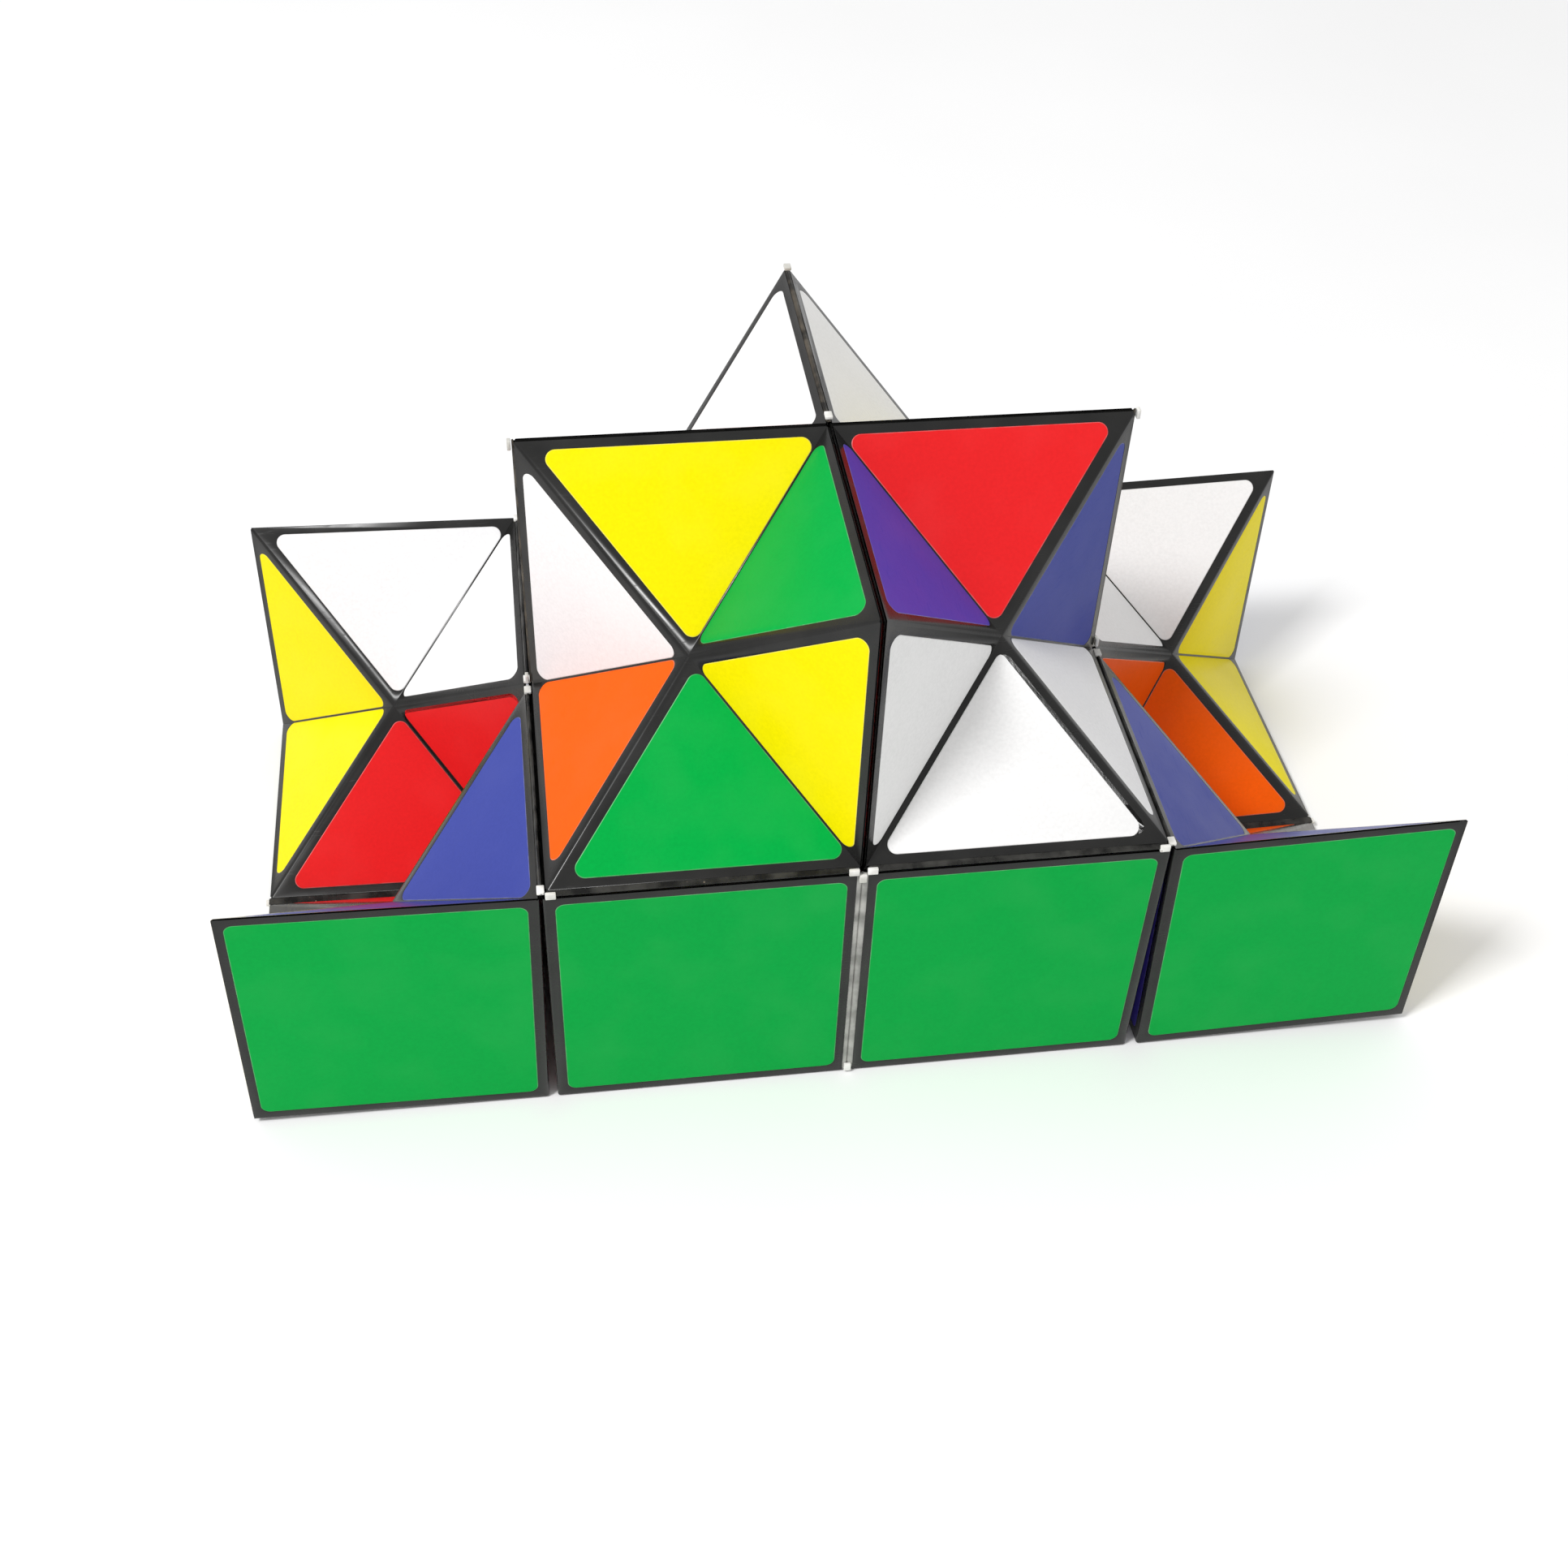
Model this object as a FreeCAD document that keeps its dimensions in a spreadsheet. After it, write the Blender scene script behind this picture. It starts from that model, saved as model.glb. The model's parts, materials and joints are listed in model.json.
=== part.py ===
import FreeCAD, Part
import os

from FreeCAD import Placement, Rotation, Vector
from Sketcher import Constraint

# A two-loop folding cube puzzle in millimetres, +Z up, with the middle of its bottom at the origin.
# Sixteen equal half-cubes make two closed loops of eight. The case loop lies flat, four cells wide and
# two deep, with its two end pairs as doors. The star loop is nested in the middle of the case.
# A half-cube is the part of a cube cell that three square pyramids fill: their bases are the three
# faces at one solid corner, and their tips meet at the middle of the cell. It is a hollow box of two
# mouldings, a tray with the three squares and a cap with the six triangles. Stickers lie flush in
# both. Film strips run along the edges that hinge, with a key inside each half-cube that holds them.

SIZES = {
    "cell_edge": 35.0,  # edge of one cube cell, half of the closed cube's edge
    "play": 0.15,  # how far a half-cube's faces stand inside its cell
    "wall": 1.3,  # wall of trays and caps
    "border": 1.25,  # bare plastic round a sticker
    "valley_border": 0.12,  # bare plastic beside a sticker along a valley of the cap
    "corner_round": 1.1,  # radius of a sticker's corners
    "sticker_thick": 0.12,  # sticker, and the recess it fills
    "film_slot": 0.16,  # gap between tray and cap that the hinge film passes through
    "film_thick": 0.08,  # hinge film
    "bead_radius": 0.25,  # round bead of the film on the hinge line
    "bead_gap": 0.05,  # from a bead to the leaf that turns round it
    "strip_end_gap": 0.5,  # from a strip's end to the end of its edge
    "web_setback": 6.5,  # from the film inside a half-cube to the end of its edge
    "key_thick": 0.6,  # key that keeps the film in
    "key_width": 0.7,  # key, away from the hinge line
    "left_tilt": 1.2,  # degrees that the left door is lifted off flat
    "right_tilt": 1.8,  # degrees that the right door is lifted off flat
}

# A cap's faces rise at 45 degrees from the squares, and the tray and cap meet on the bisector.
FACE_SLOPE = "1"
MITRE_SLOPE = "(1 + sqrt(2))"
BISECTOR = 22.5

BODY_EDGE = "(Dims.cell_edge - (2 + sqrt(2)) * Dims.play)"
HALF_SLOT_RUN = f"(Dims.film_slot / 2 * sqrt(1 + {MITRE_SLOPE} ^ 2))"
TRAY_EDGE = f"({BODY_EDGE} - {HALF_SLOT_RUN})"
TRAY_SPACE_EDGE = f"({BODY_EDGE} + {HALF_SLOT_RUN})"
HOLLOW_EDGE = f"({BODY_EDGE} - sqrt(2) * Dims.wall)"
LIP_REACH = f"(Dims.play / sin({BISECTOR} deg))"
# A strip that never bends bridges its two half-cubes inside their faces, where this reaches along the
# bisectors if their squares lie flat, and a film's thickness nearer the line if they are face to face.
FLAT_REACH = f"((Dims.play + Dims.film_thick) / sin({BISECTOR} deg))"
FOLDED_REACH = f"({FLAT_REACH} - Dims.film_thick)"
STRIP_LENGTH = "(Dims.cell_edge - 2 * Dims.strip_end_gap)"
WEB_LENGTH = "(Dims.cell_edge - 2 * Dims.web_setback)"
# The key sits where the hollow has become thick enough to take it, and the slot's width further in.
KEY_START = (
    f"((Dims.play + Dims.wall) / sin({BISECTOR} deg)"
    f" + Dims.key_thick / 2 / tan({BISECTOR} deg) + Dims.film_slot)"
)

# name: (lowest corner of its cell, its solid corner), in cells, with the case's middle cells at x 0 to 2
CASE = {
    "case_front_left_door": ((-1, 0, 0), (0, 0, 0)),
    "case_front_left": ((0, 0, 0), (0, 0, 0)),
    "case_front_right": ((1, 0, 0), (2, 0, 0)),
    "case_front_right_door": ((2, 0, 0), (2, 0, 0)),
    "case_rear_left_door": ((-1, 1, 0), (0, 2, 0)),
    "case_rear_left": ((0, 1, 0), (0, 2, 0)),
    "case_rear_right": ((1, 1, 0), (2, 2, 0)),
    "case_rear_right_door": ((2, 1, 0), (2, 2, 0)),
}
STAR = {
    f"star_{level}_{row}_{side}": ((column, depth, height), (1, 1, 1))
    for height, level in enumerate(("lower", "upper"))
    for depth, row in enumerate(("front", "rear"))
    for column, side in enumerate(("left", "right"))
}
PIECES = {**CASE, **STAR}

# Strips whose two half-cubes move together: node name, then pairs of half-cubes with the two ends of
# their edge, in cells.
RIGID_STRIPS = {
    "base_film_hinges": [
        ("case_front_left", "case_front_right", (1, 0, 0), (1, 0, 1)),
        ("case_rear_left", "case_rear_right", (1, 2, 0), (1, 2, 1)),
    ],
    "left_door_film_hinge": [
        ("case_front_left_door", "case_rear_left_door", (-1, 1, 0), (0, 1, 0)),
    ],
    "right_door_film_hinge": [
        ("case_front_right_door", "case_rear_right_door", (2, 1, 0), (3, 1, 0)),
    ],
    "star_lower_film_hinges": [
        ("star_lower_front_left", "star_lower_rear_left", (0, 1, 0), (0, 1, 1)),
        ("star_lower_front_right", "star_lower_rear_right", (2, 1, 0), (2, 1, 1)),
        ("star_lower_rear_left", "star_lower_rear_right", (1, 1, 0), (1, 2, 0)),
    ],
    "star_upper_film_hinges": [
        ("star_upper_front_left", "star_upper_rear_left", (0, 1, 1), (0, 1, 2)),
        ("star_upper_front_right", "star_upper_rear_right", (2, 1, 1), (2, 1, 2)),
        ("star_upper_rear_left", "star_upper_rear_right", (1, 1, 2), (1, 2, 2)),
    ],
}
# Strips across a joint: (node of the fixed leaf with the bead, node of the leaf that turns), then the
# same pairs, fixed half-cube first.
TURNING_STRIPS = {
    ("left_hinge_base_leaves", "left_hinge_door_leaves"): [
        ("case_front_left", "case_front_left_door", (0, 0, 1), (0, 1, 1)),
        ("case_rear_left", "case_rear_left_door", (0, 1, 1), (0, 2, 1)),
    ],
    ("right_hinge_base_leaves", "right_hinge_door_leaves"): [
        ("case_front_right", "case_front_right_door", (2, 0, 1), (2, 1, 1)),
        ("case_rear_right", "case_rear_right_door", (2, 1, 1), (2, 2, 1)),
    ],
    ("star_hinge_lower_leaves", "star_hinge_upper_leaves"): [
        ("star_lower_front_left", "star_upper_front_left", (0, 0, 1), (1, 0, 1)),
        ("star_lower_front_right", "star_upper_front_right", (1, 0, 1), (2, 0, 1)),
    ],
}

doc = FreeCAD.newDocument("star_case_puzzle")


def fill_sheet():
    """Put the driving sizes in the sheet, one aliased cell each."""
    sheet = doc.addObject("Spreadsheet::Sheet", "Dims")
    for row, (alias, value) in enumerate(SIZES.items(), start=1):
        sheet.set(f"A{row}", alias)
        sheet.set(f"B{row}", str(value))
        sheet.setAlias(f"B{row}", alias)
    doc.recompute()
    return sheet


def add(kind, name, sizes=None, **properties):
    """Add one object, with its sizes bound to expressions."""
    item = doc.addObject(kind, name)
    for key, value in properties.items():
        setattr(item, key, value)
    for path, expression in (sizes or {}).items():
        item.setExpression(path, expression)
    return item


def third_turn(count):
    """A turn that carries each square of a half-cube to the next one round its solid corner."""
    return Placement(Vector(), Rotation(Vector(1, 1, 1), 120 * count))


def three_way(name, reach, slope):
    """The solid under three faces that lean in from squares of side reach, by slope for each unit up."""
    top = f"{reach} / (1 + {slope})"
    wedges = []
    for count in range(3):
        sizes = {"Xmax": reach, "Zmax": reach, "Ymax": top, "X2max": top, "Z2max": top}
        low = dict.fromkeys(("Xmin", "Ymin", "Zmin", "X2min", "Z2min"), 0)
        wedges.append(add("Part::Wedge", f"{name}_{count}", sizes, **low, Placement=third_turn(count)))
    return add("Part::MultiFuse", name, Shapes=wedges, Refine=True)


def new_sketch(body, plane):
    """A sketch on one of the body's own origin planes."""
    sketch = body.newObject("Sketcher::SketchObject", f"{body.Name}_outline")
    origin_plane = next(item for item in body.Origin.OriginFeatures if item.Role == plane)
    sketch.AttachmentSupport = [(origin_plane, "")]
    sketch.MapMode = "FlatFace"
    return sketch


def constrain(sketch, kind, *where, expression=None, value=None):
    """Add a constraint, bound to an expression where one is given."""
    start = [] if value is None else [value]
    index = sketch.addConstraint(Constraint(kind, *where, *start))
    if expression:
        sketch.setExpression(f"Constraints[{index}]", expression)


def closed_outline(sketch, points):
    """Draw a closed outline of straight lines, joined at their ends."""
    count = len(points)
    for index in range(count):
        sketch.addGeometry(Part.LineSegment(points[index], points[(index + 1) % count]), False)
    for index in range(count):
        constrain(sketch, "Coincident", index, 2, (index + 1) % count, 1)


def padded_sticker(body, sketch, inward):
    """Pad a sticker's outline to its thickness and round its corners."""
    pad = body.newObject("PartDesign::Pad", f"{body.Name}_pad")
    pad.Profile = sketch
    pad.Reversed = not inward
    pad.setExpression("Length", "Dims.sticker_thick")
    doc.recompute()
    upright = [
        f"Edge{number}"
        for number, edge in enumerate(pad.Shape.Edges, start=1)
        if abs(edge.tangentAt(edge.FirstParameter).z) > 0.9
    ]
    rounding = body.newObject("PartDesign::Fillet", f"{body.Name}_corners")
    rounding.Base = (pad, upright)
    rounding.setExpression("Radius", "Dims.corner_round")
    doc.recompute()
    return body


def square_sticker():
    """The sticker of the square in the XY plane, from its outer face inwards."""
    body = doc.addObject("PartDesign::Body", "square_sticker")
    sketch = new_sketch(body, "XY_Plane")
    edge = SIZES["cell_edge"]
    closed_outline(sketch, [Vector(1, 1), Vector(edge, 1), Vector(edge, edge), Vector(1, edge)])
    for line, kind in enumerate(("Horizontal", "Vertical", "Horizontal", "Vertical")):
        constrain(sketch, kind, line)
    side = f"{BODY_EDGE} - 2 * Dims.border"
    constrain(sketch, "DistanceX", -1, 1, 0, 1, value=1, expression="Dims.border")
    constrain(sketch, "DistanceY", -1, 1, 0, 1, value=1, expression="Dims.border")
    constrain(sketch, "DistanceX", 0, 1, 0, 2, value=edge - 1, expression=side)
    constrain(sketch, "DistanceY", 1, 1, 1, 2, value=edge - 1, expression=side)
    return padded_sticker(body, sketch, inward=True)


def facet_sticker(name, inward):
    """The sticker of one triangle, drawn with the triangle's outer edge on X and its valley at X = 0."""
    body = doc.addObject("PartDesign::Body", name)
    sketch = new_sketch(body, "XY_Plane")
    edge = SIZES["cell_edge"]
    closed_outline(sketch, [Vector(2, 1), Vector(edge, 1), Vector(edge / 2, edge / 2)])
    constrain(sketch, "Horizontal", 0)
    # A facet's legs rise by sqrt(2) for each unit along X. A border beside a leg moves that leg along X
    # by sqrt(1.5) times the border, and raising the base by its border brings the legs nearer.
    start = "Dims.border / sqrt(2) + Dims.valley_border * sqrt(1.5)"
    base = f"({BODY_EDGE} - sqrt(2) * Dims.border - (Dims.valley_border + Dims.border) * sqrt(1.5))"
    constrain(sketch, "DistanceX", -1, 1, 0, 1, value=2, expression=start)
    constrain(sketch, "DistanceY", -1, 1, 0, 1, value=1, expression="Dims.border")
    constrain(sketch, "DistanceX", 0, 1, 0, 2, value=edge - 2, expression=base)
    constrain(sketch, "DistanceX", 0, 1, 1, 2, value=edge / 2 - 2, expression=f"{base} / 2")
    constrain(sketch, "DistanceY", 0, 1, 1, 2, value=edge / 2 - 1, expression=f"{base} / sqrt(2)")
    padded_sticker(body, sketch, inward)
    return body


def sticker_masters():
    """The nine stickers of a half-cube: (three of the squares, six of the triangles, all of them)."""
    square = square_sticker()
    # Both triangles lean in from the square in the XY plane, one from each of its outer edges.
    first = facet_sticker("first_facet_sticker", inward=False)
    second = facet_sticker("second_facet_sticker", inward=True)
    first.setExpression("Placement.Base.x", BODY_EDGE)
    first.Placement.Rotation = Rotation(Vector(0, 1, 0), Vector(-1, 0, 1), Vector(1, 0, 1))
    second.setExpression("Placement.Base.y", BODY_EDGE)
    second.Placement.Rotation = Rotation(Vector(1, 0, 0), Vector(0, -1, 1), Vector(0, -1, -1))
    squares = turned_copies("square_stickers", [square])
    facets = turned_copies("facet_stickers", [first, second])
    return squares, facets, add("Part::Compound", "sticker_master", Links=[squares, facets])


def turned_copies(name, items):
    """Three copies of some objects, one for each square of a half-cube."""
    turns = [
        add("Part::Compound", f"{name}_{count}", Links=items, Placement=third_turn(count))
        for count in range(3)
    ]
    return add("Part::Compound", name, Links=turns)


def shell_masters(squares, facets):
    """The tray and the cap of a half-cube, with recesses for their stickers."""
    outside = three_way("half_cube", BODY_EDGE, FACE_SLOPE)
    hollow = three_way("cap_hollow", HOLLOW_EDGE, FACE_SLOPE)
    tray_space = three_way("tray_space", TRAY_SPACE_EDGE, MITRE_SLOPE)
    tray_outside = three_way("tray_outside", TRAY_EDGE, MITRE_SLOPE)
    corner = add(
        "Part::Box",
        "tray_hollow",
        dict.fromkeys(("Length", "Width", "Height"), BODY_EDGE)
        | {f"Placement.Base.{axis}": "Dims.wall" for axis in "xyz"},
    )
    taken = add("Part::MultiFuse", "cap_taken", Shapes=[hollow, tray_space])
    bare_cap = add("Part::Cut", "bare_cap", Base=outside, Tool=taken)
    bare_tray = add("Part::Cut", "bare_tray", Base=tray_outside, Tool=corner)
    tray = add("Part::Cut", "tray_master", Base=bare_tray, Tool=squares)
    return tray, add("Part::Cut", "cap_master", Base=bare_cap, Tool=facets)


def film_box(name, length, start, width, thick):
    """A flat bar of a strip, centred on X and on Z, from start along Y."""
    sizes = {
        "Length": length,
        "Width": width,
        "Height": thick,
        "Placement.Base.x": f"-{length} / 2",
        "Placement.Base.y": start,
        "Placement.Base.z": f"-{thick} / 2",
    }
    return add("Part::Box", name, sizes)


def leaf_master(name, start, edge_shapes):
    """One leaf of a film strip: X along the hinge line, Y into the half-cube, Z across the film."""
    web = film_box(f"{name}_web", WEB_LENGTH, start, f"{KEY_START} - {start}", "Dims.film_thick")
    key = film_box(f"{name}_key", WEB_LENGTH, KEY_START, "Dims.key_width", "Dims.key_thick")
    return add("Part::MultiFuse", name, Shapes=[*edge_shapes, web, key], Refine=True)


def leaf_masters():
    """The leaves by use: one with the bead, one that turns round a bead, and one under a bridge."""
    sizes = {
        "Radius": "Dims.bead_radius",
        "Height": STRIP_LENGTH,
        "Placement.Base.x": f"-{STRIP_LENGTH} / 2",
    }
    along = Placement(Vector(), Rotation(Vector(0, 1, 0), 90))
    bead = add("Part::Cylinder", "bead", sizes, Placement=along)
    past_bead = "(Dims.bead_radius + Dims.bead_gap)"
    bead_lip = film_box("bead_lip", STRIP_LENGTH, "0", LIP_REACH, "Dims.film_thick")
    turning_lip = film_box(
        "turning_lip", STRIP_LENGTH, past_bead, f"{LIP_REACH} - {past_bead}", "Dims.film_thick"
    )
    return {
        "bead": leaf_master("bead_leaf", "0", [bead, bead_lip]),
        "turning": leaf_master("turning_leaf", past_bead, [turning_lip]),
        "rigid": leaf_master("rigid_leaf", FOLDED_REACH, []),
    }


def bridge_masters():
    """The bridges of strips that never bend: Y into the first half-cube, Z off its square."""
    flat_width = f"(2 * {FLAT_REACH} * cos({BISECTOR} deg))"
    flat = film_box("flat_bridge", STRIP_LENGTH, f"-{flat_width} / 2", flat_width, "Dims.film_thick")
    flat.setExpression("Placement.Base.z", "Dims.play + Dims.film_thick / 2")
    folded_height = f"(2 * {FOLDED_REACH} * sin({BISECTOR} deg))"
    folded_start = f"({FOLDED_REACH} * cos({BISECTOR} deg) - Dims.film_thick / 2)"
    folded = film_box("folded_bridge", STRIP_LENGTH, folded_start, "Dims.film_thick", folded_height)
    return {"flat": flat, "folded": folded}


def in_frame(sheet, point):
    """A point given in cells, in the part's own frame: the middle cells are about the origin."""
    edge = sheet.cell_edge
    return Vector((point[0] - 1) * edge, (point[1] - 1) * edge, point[2] * edge - sheet.play)


def door_turn(sheet, name):
    """How far a door's half-cube is turned about its hinge line as it lies; nothing for the others."""
    if not name.endswith("_door"):
        return Placement()
    left = "_left_" in name
    line = in_frame(sheet, (0 if left else 2, 0, 1))
    angle = sheet.left_tilt if left else -sheet.right_tilt
    return Placement(Vector(), Rotation(Vector(0, 1, 0), angle), line)


def half_cube_placement(sheet, name):
    """Where a half-cube's masters go: their solid corner in its cell's, and their squares on its faces."""
    lowest, solid = PIECES[name]
    signs = [1 if lowest[axis] == solid[axis] else -1 for axis in range(3)]
    along_x, along_y, along_z = (Vector(*(signs[a] if a == b else 0 for b in range(3))) for a in range(3))
    if signs[0] * signs[1] * signs[2] < 0:
        along_x, along_y = along_y, along_x
    turn = Placement(in_frame(sheet, solid), Rotation(along_x, along_y, along_z))
    inset = Placement(Vector(sheet.play, sheet.play, sheet.play), Rotation())
    return door_turn(sheet, name) * turn * inset


def hinge_frame(sheet, name, start, end):
    """The frame of a half-cube's hinge edge, which runs between two corners of its cell.

    X is along the edge, Y runs into the half-cube along the square there, and Z is off that square.
    """
    lowest, solid = PIECES[name]
    line = next(axis for axis in range(3) if start[axis] != end[axis])
    across = [axis for axis in range(3) if axis != line]
    normal = next(axis for axis in across if start[axis] == solid[axis])
    into = next(axis for axis in across if axis != normal)
    inward, along_square = [0, 0, 0], [0, 0, 0]
    inward[normal] = 1 if lowest[normal] == solid[normal] else -1
    along_square[into] = solid[into] - start[into]
    across_film, into_piece = Vector(*inward), Vector(*along_square)
    middle = (in_frame(sheet, start) + in_frame(sheet, end)) * 0.5
    upright = Placement(middle, Rotation(into_piece.cross(across_film), into_piece, across_film))
    return door_turn(sheet, name) * upright


def leaned(frame):
    """A hinge frame turned so that its Y runs along the bisector, where the film goes in."""
    return frame * Placement(Vector(), Rotation(Vector(1, 0, 0), BISECTOR))


def copy_of(master, name, placement):
    """A copy of a master at a place of its own."""
    return add("Part::Compound", name, Links=[master], Placement=placement)


def new_node(label, items):
    """A node that holds some objects as separate solids."""
    node = add("Part::Compound", label, Links=items)
    node.Label = label
    return node


def add_half_cubes(sheet, tray, cap, stickers):
    """A tray, a cap and a group of stickers for each half-cube."""
    nodes = []
    for name in PIECES:
        place = half_cube_placement(sheet, name)
        for suffix, master in (("tray", tray), ("cap", cap), ("stickers", stickers)):
            node = copy_of(master, f"{name}_{suffix}", place)
            node.Label = f"{name}_{suffix}"
            nodes.append(node)
    return nodes


def rigid_strip(name, frames, leaf, bridges):
    """A strip between two half-cubes that move together, as one piece of film."""
    across_films = [frame.Rotation.multVec(Vector(0, 0, 1)) for frame in frames]
    bridge = bridges["flat" if across_films[0].isEqual(across_films[1], 1e-6) else "folded"]
    leaves = [copy_of(leaf, f"{name}_leaf_{side}", leaned(frame)) for side, frame in enumerate(frames)]
    middle = copy_of(bridge, f"{name}_bridge", frames[0])
    return add("Part::MultiFuse", name, Shapes=[*leaves, middle], Refine=True)


def add_strips(sheet, leaves, bridges):
    """The film strips: whole ones inside a body, and two groups of leaves across each joint."""
    nodes = []
    for label, strips in RIGID_STRIPS.items():
        whole = []
        for number, (*pair, start, end) in enumerate(strips):
            frames = [hinge_frame(sheet, name, start, end) for name in pair]
            whole.append(rigid_strip(f"{label}_{number}", frames, leaves["rigid"], bridges))
        nodes.append(new_node(label, whole))
    for labels, strips in TURNING_STRIPS.items():
        for side, (label, use) in enumerate(zip(labels, ("bead", "turning"))):
            copies = []
            for number, (*pair, start, end) in enumerate(strips):
                place = leaned(hinge_frame(sheet, pair[side], start, end))
                copies.append(copy_of(leaves[use], f"{label}_{number}", place))
            nodes.append(new_node(label, copies))
    return nodes


def check(nodes):
    """Stop if an object failed, or a node has no valid shape."""
    failed = [item.Name for item in doc.Objects if {"Invalid", "Error"} & set(item.State)]
    bad = [node.Label for node in nodes if node.Shape.isNull() or not node.Shape.isValid()]
    empty = [node.Label for node in nodes if not node.Shape.Solids]
    if failed or bad or empty:
        raise RuntimeError(f"failed {failed}, not valid {bad}, no solids {empty}")


def main():
    """Build the document, check it and write one file for each node."""
    sheet = fill_sheet()
    squares, facets, stickers = sticker_masters()
    tray, cap = shell_masters(squares, facets)
    nodes = add_half_cubes(sheet, tray, cap, stickers)
    nodes += add_strips(sheet, leaf_masters(), bridge_masters())
    doc.recompute()
    check(nodes)
    os.makedirs("parts", exist_ok=True)
    for node in nodes:
        node.Shape.exportStep(f"parts/{node.Label}.step")
    print(len(nodes), "nodes")


main()
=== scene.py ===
import json
import logging
import math
import random
from collections.abc import Iterator
from contextlib import contextmanager
from dataclasses import dataclass, field
from enum import Enum
from itertools import permutations

import bmesh
import bpy
from mathutils import Matrix, Vector


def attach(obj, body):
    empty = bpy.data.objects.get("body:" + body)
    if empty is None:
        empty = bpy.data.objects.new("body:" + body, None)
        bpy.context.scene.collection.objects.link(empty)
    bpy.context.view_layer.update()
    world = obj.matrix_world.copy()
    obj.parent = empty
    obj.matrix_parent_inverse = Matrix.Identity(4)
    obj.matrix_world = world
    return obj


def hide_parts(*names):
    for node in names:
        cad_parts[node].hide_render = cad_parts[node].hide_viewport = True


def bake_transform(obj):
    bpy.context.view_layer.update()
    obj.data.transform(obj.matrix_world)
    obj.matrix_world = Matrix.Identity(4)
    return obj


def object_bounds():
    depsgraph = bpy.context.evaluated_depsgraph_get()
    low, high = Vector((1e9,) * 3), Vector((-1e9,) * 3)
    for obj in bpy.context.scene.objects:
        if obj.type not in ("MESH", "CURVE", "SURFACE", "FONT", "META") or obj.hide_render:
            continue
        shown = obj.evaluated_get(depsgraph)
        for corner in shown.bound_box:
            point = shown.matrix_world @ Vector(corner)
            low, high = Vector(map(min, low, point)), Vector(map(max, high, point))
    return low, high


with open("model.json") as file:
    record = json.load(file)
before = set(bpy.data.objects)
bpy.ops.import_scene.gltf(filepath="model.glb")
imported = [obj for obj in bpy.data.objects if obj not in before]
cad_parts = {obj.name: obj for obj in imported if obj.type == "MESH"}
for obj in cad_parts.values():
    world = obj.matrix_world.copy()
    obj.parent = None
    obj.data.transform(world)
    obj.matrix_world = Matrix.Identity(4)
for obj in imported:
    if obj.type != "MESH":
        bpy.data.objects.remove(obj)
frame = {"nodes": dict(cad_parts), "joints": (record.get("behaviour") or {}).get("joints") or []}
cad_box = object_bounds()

log = logging.getLogger("puzzle")

MM = 0.001
AXES = "xyz"
# The film goes into a half-cube on the bisector of its 45 degree edge.
BISECTOR = math.radians(22.5)
# Faces of film that turn by less than this are shaded as one surface, and so for the mouldings.
FILM_SMOOTH = math.radians(50)
SHELL_SMOOTH = math.radians(44)
# CAD faces are joined where their corners are this near and their planes turn by less than this.
SAME_POINT = 0.002 * MM
SAME_PLANE = math.radians(0.5)

RGB = tuple[float, float, float]
Socket = bpy.types.NodeSocket


class Hue(Enum):
    """The sticker colours, as linear red, green and blue."""

    GREEN = (0.001, 0.365, 0.055)
    WHITE = (0.84, 0.835, 0.83)
    YELLOW = (0.87, 0.74, 0.001)
    RED = (0.73, 0.018, 0.020)
    BLUE = (0.048, 0.066, 0.325)
    PURPLE = (0.084, 0.062, 0.45)
    ORANGE = (0.83, 0.110, 0.003)


class Fold(Enum):
    """How the two half-cubes that a film strip joins lie to each other."""

    FLAT = "squares in one plane"
    FOLDED = "squares face to face"
    TURNING = "squares face to face across a joint"


# --------------------------------------------------------------------------- shader graphs


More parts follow.
